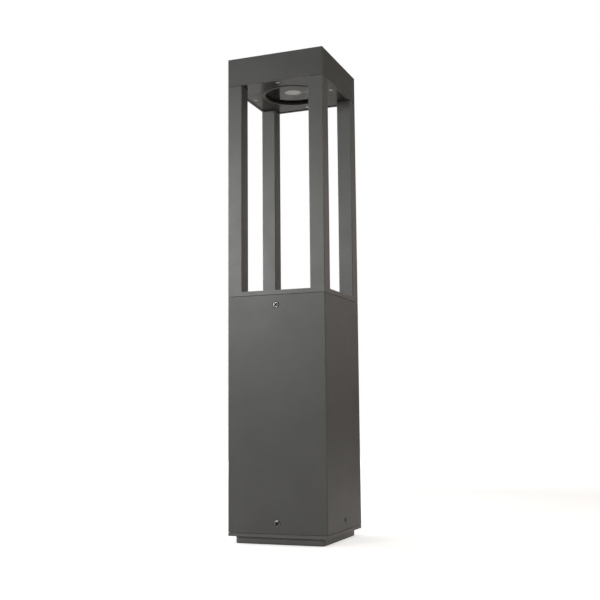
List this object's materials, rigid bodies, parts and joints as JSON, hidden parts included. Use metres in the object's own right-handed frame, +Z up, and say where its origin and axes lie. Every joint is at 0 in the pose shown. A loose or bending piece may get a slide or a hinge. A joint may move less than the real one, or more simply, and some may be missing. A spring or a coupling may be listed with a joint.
{
  "type": "bollard light",
  "caption": "Square outdoor bollard light: a solid column with an open lantern head of corner posts under a flat square cap that shines down through a round window.",
  "frame": {"origin": "on the ground under the middle of the foot", "axes": "+Z up the column, the front face towards -Y, +X to the right"},
  "size_m": [0.127, 0.127, 0.6],
  "materials": {
    "powder_coat": "anthracite powder coat, fine texture, satin",
    "raw_aluminium": "satin mill finish",
    "black_anodised": "black anodised",
    "black_steel": "blackened, slightly glossy",
    "stainless": "bright",
    "zinc_steel": "zinc plated",
    "brass": "plain",
    "black_rubber": "matt",
    "black_plastic": "semi-gloss",
    "grey_plastic": "fine grain",
    "white_plastic": "matt",
    "lens": "frosted",
    "phosphor": "matt",
    "clear_glass": "clear toughened",
    "lead_sheath": "matt"
  },
  "bodies": {
    "foot": {"foot_casting": "powder_coat", "cable_grommet": "black_rubber", "earth_screw": "brass", "earth_washer": "zinc_steel"},
    "column": {"column_tube": "powder_coat", "foot_screws": "black_steel", "foot_screw_nuts": "zinc_steel", "head_screws": "black_steel", "head_screw_nuts": "zinc_steel"},
    "head": {"deck_plate": "powder_coat", "deck_gasket": "black_rubber", "post_front_left": "powder_coat", "post_front_right": "powder_coat", "post_rear_left": "powder_coat", "post_rear_right": "powder_coat", "post_foot_screws": "zinc_steel", "post_head_screws": "zinc_steel", "lamp_plate": "powder_coat", "window_bezel": "black_plastic", "glass_gasket": "black_rubber", "window_glass": "clear_glass", "lamp_baffle": "black_anodised", "baffle_screws": "zinc_steel", "lamp_lens": "lens", "led_board": "phosphor", "lens_holder": "white_plastic", "heat_sink": "raw_aluminium", "heat_sink_screws": "zinc_steel", "cap_seal": "black_rubber", "cap_screws": "stainless", "driver_tray": "raw_aluminium", "tray_screws": "zinc_steel", "lamp_driver": "white_plastic", "driver_screws": "zinc_steel", "lead_grommet": "black_rubber", "lamp_lead": "lead_sheath", "input_lead": "lead_sheath", "junction_box": "grey_plastic", "junction_box_screws": "zinc_steel", "box_lid": "grey_plastic", "box_lid_seal": "black_rubber", "box_lid_screws": "zinc_steel", "terminal_block": "white_plastic", "terminal_screws": "brass", "gland_body": "black_plastic", "gland_lock_nut": "black_plastic", "gland_seal": "black_rubber", "gland_nut": "black_plastic"},
    "cap": {"cap_shell": "powder_coat"}
  },
  "joints": [
    {"name": "column_lift", "type": "slide", "parent": "foot", "child": "column", "axis": [0, 0, 1], "range_m": [0, 0.05]},
    {"name": "head_lift", "type": "slide", "parent": "column", "child": "head", "axis": [0, 0, 1], "range_m": [0, 0.22]},
    {"name": "cap_lift", "type": "slide", "parent": "head", "child": "cap", "axis": [0, 0, 1], "range_m": [0, 0.05]}
  ]
}
